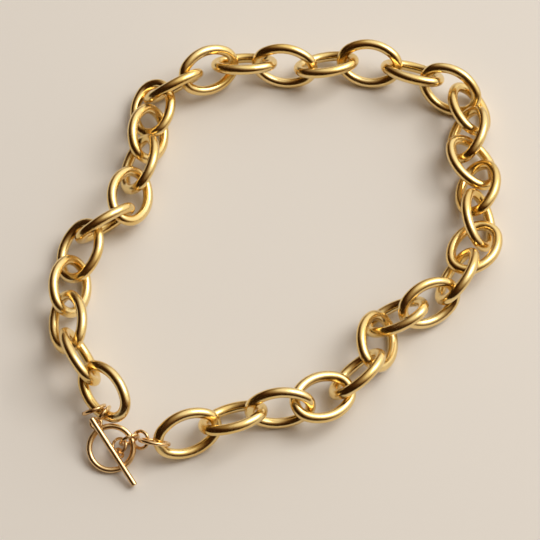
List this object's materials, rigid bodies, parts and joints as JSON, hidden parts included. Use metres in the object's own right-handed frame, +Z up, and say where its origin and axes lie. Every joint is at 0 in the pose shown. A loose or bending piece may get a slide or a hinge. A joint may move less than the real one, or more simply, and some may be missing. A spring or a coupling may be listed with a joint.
{
  "type": "chunky oval link chain necklace with toggle clasp",
  "caption": "Chunky chain necklace of round-wire oval links in polished gold plate, closed by a small ring-and-bar toggle clasp on thin jump rings, lying in a loop.",
  "frame": {"origin": "middle of the laid-out necklace, on the table it lies on", "axes": "+Z up from the table; +Y towards the far end of the loop, away from the clasp; +X to the right with the clasp at the front left"},
  "size_m": [0.1175, 0.1276, 0.0138],
  "materials": {
    "link_metal": "polished gold plate",
    "clasp_metal": "polished gold plate, slightly warmer"
  },
  "bodies": {
    "link_01": {"link_01": "link_metal"},
    "link_02": {"link_02": "link_metal"},
    "link_03": {"link_03": "link_metal"},
    "link_04": {"link_04": "link_metal"},
    "link_05": {"link_05": "link_metal"},
    "link_06": {"link_06": "link_metal"},
    "link_07": {"link_07": "link_metal"},
    "link_08": {"link_08": "link_metal"},
    "link_09": {"link_09": "link_metal"},
    "link_10": {"link_10": "link_metal"},
    "link_11": {"link_11": "link_metal"},
    "link_12": {"link_12": "link_metal"},
    "link_13": {"link_13": "link_metal"},
    "link_14": {"link_14": "link_metal"},
    "link_15": {"link_15": "link_metal"},
    "link_16": {"link_16": "link_metal"},
    "link_17": {"link_17": "link_metal"},
    "link_18": {"link_18": "link_metal"},
    "link_19": {"link_19": "link_metal"},
    "link_20": {"link_20": "link_metal"},
    "link_21": {"link_21": "link_metal"},
    "link_22": {"link_22": "link_metal"},
    "link_23": {"link_23": "link_metal"},
    "link_24": {"link_24": "link_metal"},
    "link_25": {"link_25": "link_metal"},
    "link_26": {"link_26": "link_metal"},
    "link_27": {"link_27": "link_metal"},
    "link_28": {"link_28": "link_metal"},
    "link_29": {"link_29": "link_metal"},
    "link_30": {"link_30": "link_metal"},
    "link_31": {"link_31": "link_metal"},
    "link_32": {"link_32": "link_metal"},
    "link_33": {"link_33": "link_metal"},
    "toggle_ring": {"toggle_ring": "clasp_metal"},
    "toggle_bar": {"toggle_bar": "clasp_metal"},
    "ring_side_jump_ring": {"ring_side_jump_ring": "clasp_metal"},
    "spare_jump_ring": {"spare_jump_ring": "clasp_metal"},
    "bar_jump_ring_1": {"bar_jump_ring_1": "clasp_metal"},
    "bar_jump_ring_2": {"bar_jump_ring_2": "clasp_metal"},
    "bar_jump_ring_3": {"bar_jump_ring_3": "clasp_metal"},
    "bar_jump_ring_4": {"bar_jump_ring_4": "clasp_metal"}
  },
  "joints": [
    {"name": "link_17_to_link_18", "type": "hinge", "parent": "link_17", "child": "link_18", "pos_m": [0.02944, 0.05784, 0.00559], "axis": [0.3148, 0.6957, -0.6457], "range_deg": [0, 60]},
    {"name": "link_18_to_link_19", "type": "hinge", "parent": "link_18", "child": "link_19", "pos_m": [0.02074, 0.05944, 0.00578], "axis": [-0.072, 0.8171, -0.572], "range_deg": [0, 60]},
    {"name": "link_19_to_link_20", "type": "hinge", "parent": "link_19", "child": "link_20", "pos_m": [0.00576, 0.05657, 0.00572], "axis": [-0.072, 0.8171, -0.572], "range_deg": [0, 60]},
    {"name": "link_20_to_link_21", "type": "hinge", "parent": "link_20", "child": "link_21", "pos_m": [-0.00348, 0.058, 0.0065], "axis": [-0.1791, -0.2991, 0.9373], "range_deg": [-60, 0]},
    {"name": "link_21_to_link_22", "type": "hinge", "parent": "link_21", "child": "link_22", "pos_m": [-0.01649, 0.05665, 0.00714], "axis": [0.273, -0.7321, 0.6241], "range_deg": [-60, 0]},
    {"name": "link_22_to_link_23", "type": "hinge", "parent": "link_22", "child": "link_23", "pos_m": [-0.02313, 0.05259, 0.00806], "axis": [-0.1, -0.8776, 0.4688], "range_deg": [-60, 0]},
    {"name": "link_23_to_link_24", "type": "hinge", "parent": "link_23", "child": "link_24", "pos_m": [-0.03225, 0.04844, 0.00559], "axis": [-0.6608, 0.4499, 0.6008], "range_deg": [0, 20]},
    {"name": "link_24_to_link_25", "type": "hinge", "parent": "link_24", "child": "link_25", "pos_m": [-0.03355, 0.04032, 0.00498], "axis": [0.3099, -0.9507, 0.01], "range_deg": [-60, 0]},
    {"name": "link_25_to_link_26", "type": "hinge", "parent": "link_25", "child": "link_26", "pos_m": [-0.03514, 0.03427, 0.00593], "axis": [-0.6989, 0.102, -0.7079], "range_deg": [0, 60]},
    {"name": "link_26_to_link_27", "type": "hinge", "parent": "link_26", "child": "link_27", "pos_m": [-0.03726, 0.0242, 0.00539], "axis": [-0.7949, 0.188, 0.5769], "range_deg": [0, 60]},
    {"name": "link_27_to_link_28", "type": "hinge", "parent": "link_27", "child": "link_28", "pos_m": [-0.03878, 0.01258, 0.00616], "axis": [0.305, -0.102, 0.9469], "range_deg": [-60, 0]},
    {"name": "link_28_to_link_29", "type": "hinge", "parent": "link_28", "child": "link_29", "pos_m": [-0.04935, 0.00531, 0.00686], "axis": [0.489, -0.729, 0.479], "range_deg": [-60, 0]},
    {"name": "link_29_to_link_30", "type": "hinge", "parent": "link_29", "child": "link_30", "pos_m": [-0.05242, -0.00665, 0.00428], "axis": [0.8847, -0.111, 0.4528], "range_deg": [-60, 0]},
    {"name": "link_30_to_link_31", "type": "hinge", "parent": "link_30", "child": "link_31", "pos_m": [-0.05451, -0.015, 0.00604], "axis": [0.9777, 0.02, 0.2089], "range_deg": [-60, 0]},
    {"name": "link_31_to_link_32", "type": "hinge", "parent": "link_31", "child": "link_32", "pos_m": [-0.05238, -0.02583, 0.00709], "axis": [0.47, -0.879, -0.08], "range_deg": [-5, 10]},
    {"name": "link_32_to_link_33", "type": "hinge", "parent": "link_32", "child": "link_33", "pos_m": [-0.0474, -0.03616, 0.00797], "axis": [-0.3779, 0.8658, 0.3279], "range_deg": [-6, 2]},
    {"name": "link_33_to_ring_side_jump_ring", "type": "hinge", "parent": "link_33", "child": "ring_side_jump_ring", "pos_m": [-0.04301, -0.04494, 0.00562], "axis": [-0.3779, 0.8658, 0.3279], "range_deg": [-3, 5]},
    {"name": "ring_side_jump_ring_to_toggle_ring", "type": "hinge", "parent": "ring_side_jump_ring", "child": "toggle_ring", "pos_m": [-0.04463, -0.04696, 0.00499], "axis": [-0.737, 0.639, 0.22], "range_deg": [-12, 3]},
    {"name": "link_33_to_spare_jump_ring", "type": "hinge", "parent": "link_33", "child": "spare_jump_ring", "pos_m": [-0.04559, -0.04363, 0.00417], "axis": [0.6688, -0.7388, 0.083], "range_deg": [-25, 35]},
    {"name": "link_17_to_link_16", "type": "hinge", "parent": "link_17", "child": "link_16", "pos_m": [0.0416, 0.05262, 0.00699], "axis": [0.7138, 0.6738, -0.1909], "range_deg": [-60, 0]},
    {"name": "link_16_to_link_15", "type": "hinge", "parent": "link_16", "child": "link_15", "pos_m": [0.05027, 0.04803, 0.00485], "axis": [-0.5219, -0.6418, 0.5619], "range_deg": [0, 60]},
    {"name": "link_15_to_link_14", "type": "hinge", "parent": "link_15", "child": "link_14", "pos_m": [0.05204, 0.03681, 0.00655], "axis": [-0.836, 0.118, 0.536], "range_deg": [0, 60]},
    {"name": "link_14_to_link_13", "type": "hinge", "parent": "link_14", "child": "link_13", "pos_m": [0.04953, 0.03158, 0.00539], "axis": [0.3602, -0.5403, 0.7605], "range_deg": [-60, 0]},
    {"name": "link_13_to_link_12", "type": "hinge", "parent": "link_13", "child": "link_12", "pos_m": [0.05349, 0.02368, 0.00506], "axis": [-0.7777, -0.4688, 0.4188], "range_deg": [0, 60]},
    {"name": "link_12_to_link_11", "type": "hinge", "parent": "link_12", "child": "link_11", "pos_m": [0.0522, 0.01737, 0.00561], "axis": [0.6431, -0.064, -0.7631], "range_deg": [-60, 0]},
    {"name": "link_11_to_link_10", "type": "hinge", "parent": "link_11", "child": "link_10", "pos_m": [0.05328, 0.00851, 0.00491], "axis": [0.9887, -0.089, 0.121], "range_deg": [-60, 0]},
    {"name": "link_10_to_link_09", "type": "hinge", "parent": "link_10", "child": "link_09", "pos_m": [0.04852, -0.00266, 0.00613], "axis": [0.6481, 0.5181, -0.5581], "range_deg": [-60, 0]},
    {"name": "link_09_to_link_08", "type": "hinge", "parent": "link_09", "child": "link_08", "pos_m": [0.04503, -0.01083, 0.00689], "axis": [-0.469, 0.368, 0.8029], "range_deg": [0, 60]},
    {"name": "link_08_to_link_07", "type": "hinge", "parent": "link_08", "child": "link_07", "pos_m": [0.03451, -0.01714, 0.00706], "axis": [0.5763, 0.7754, 0.2581], "range_deg": [0, 60]},
    {"name": "link_07_to_link_06", "type": "hinge", "parent": "link_07", "child": "link_06", "pos_m": [0.0271, -0.01806, 0.00344], "axis": [-0.7011, 0.3691, 0.6101], "range_deg": [0, 50]},
    {"name": "link_06_to_link_05", "type": "hinge", "parent": "link_06", "child": "link_05", "pos_m": [0.0234, -0.03243, 0.00707], "axis": [0.7011, -0.3691, -0.6101], "range_deg": [-60, 0]},
    {"name": "link_05_to_link_04", "type": "hinge", "parent": "link_05", "child": "link_04", "pos_m": [0.016, -0.0385, 0.005], "axis": [0.6269, 0.7768, -0.06], "range_deg": [0, 60]},
    {"name": "link_04_to_link_03", "type": "hinge", "parent": "link_04", "child": "link_03", "pos_m": [0.00432, -0.04396, 0.00744], "axis": [-0.2679, 0.9626, 0.04], "range_deg": [0, 60]},
    {"name": "link_03_to_link_02", "type": "hinge", "parent": "link_03", "child": "link_02", "pos_m": [-0.00551, -0.045, 0.006], "axis": [-0.9693, -0.2451, -0.022], "range_deg": [-2, 3]},
    {"name": "link_02_to_link_01", "type": "hinge", "parent": "link_02", "child": "link_01", "pos_m": [-0.01845, -0.04956, 0.00604], "axis": [0.2519, -0.7236, 0.6426], "range_deg": [-1, 1]},
    {"name": "link_01_to_bar_jump_ring_4", "type": "hinge", "parent": "link_01", "child": "bar_jump_ring_4", "pos_m": [-0.02839, -0.05391, 0.00567], "axis": [0.6481, 0.5181, -0.5581], "range_deg": [-3, 6]},
    {"name": "bar_jump_ring_4_to_bar_jump_ring_3", "type": "hinge", "parent": "bar_jump_ring_4", "child": "bar_jump_ring_3", "pos_m": [-0.03341, -0.05169, 0.0033], "axis": [0.6661, 0.273, -0.6941], "range_deg": [-10, 2]},
    {"name": "bar_jump_ring_3_to_bar_jump_ring_2", "type": "hinge", "parent": "bar_jump_ring_3", "child": "bar_jump_ring_2", "pos_m": [-0.03624, -0.05104, 0.00192], "axis": [0.011, -0.8858, -0.4639], "range_deg": [-18, 3]},
    {"name": "bar_jump_ring_2_to_bar_jump_ring_1", "type": "hinge", "parent": "bar_jump_ring_2", "child": "bar_jump_ring_1", "pos_m": [-0.0388, -0.05234, 0.00328], "axis": [-0.3779, 0.8658, 0.3279], "range_deg": [-2, 60]},
    {"name": "bar_jump_ring_1_to_toggle_bar", "type": "hinge", "parent": "bar_jump_ring_1", "child": "toggle_bar", "pos_m": [-0.03966, -0.05441, 0.00253], "axis": [0.3779, -0.8658, -0.3279], "range_deg": [-18, 4]}
  ]
}
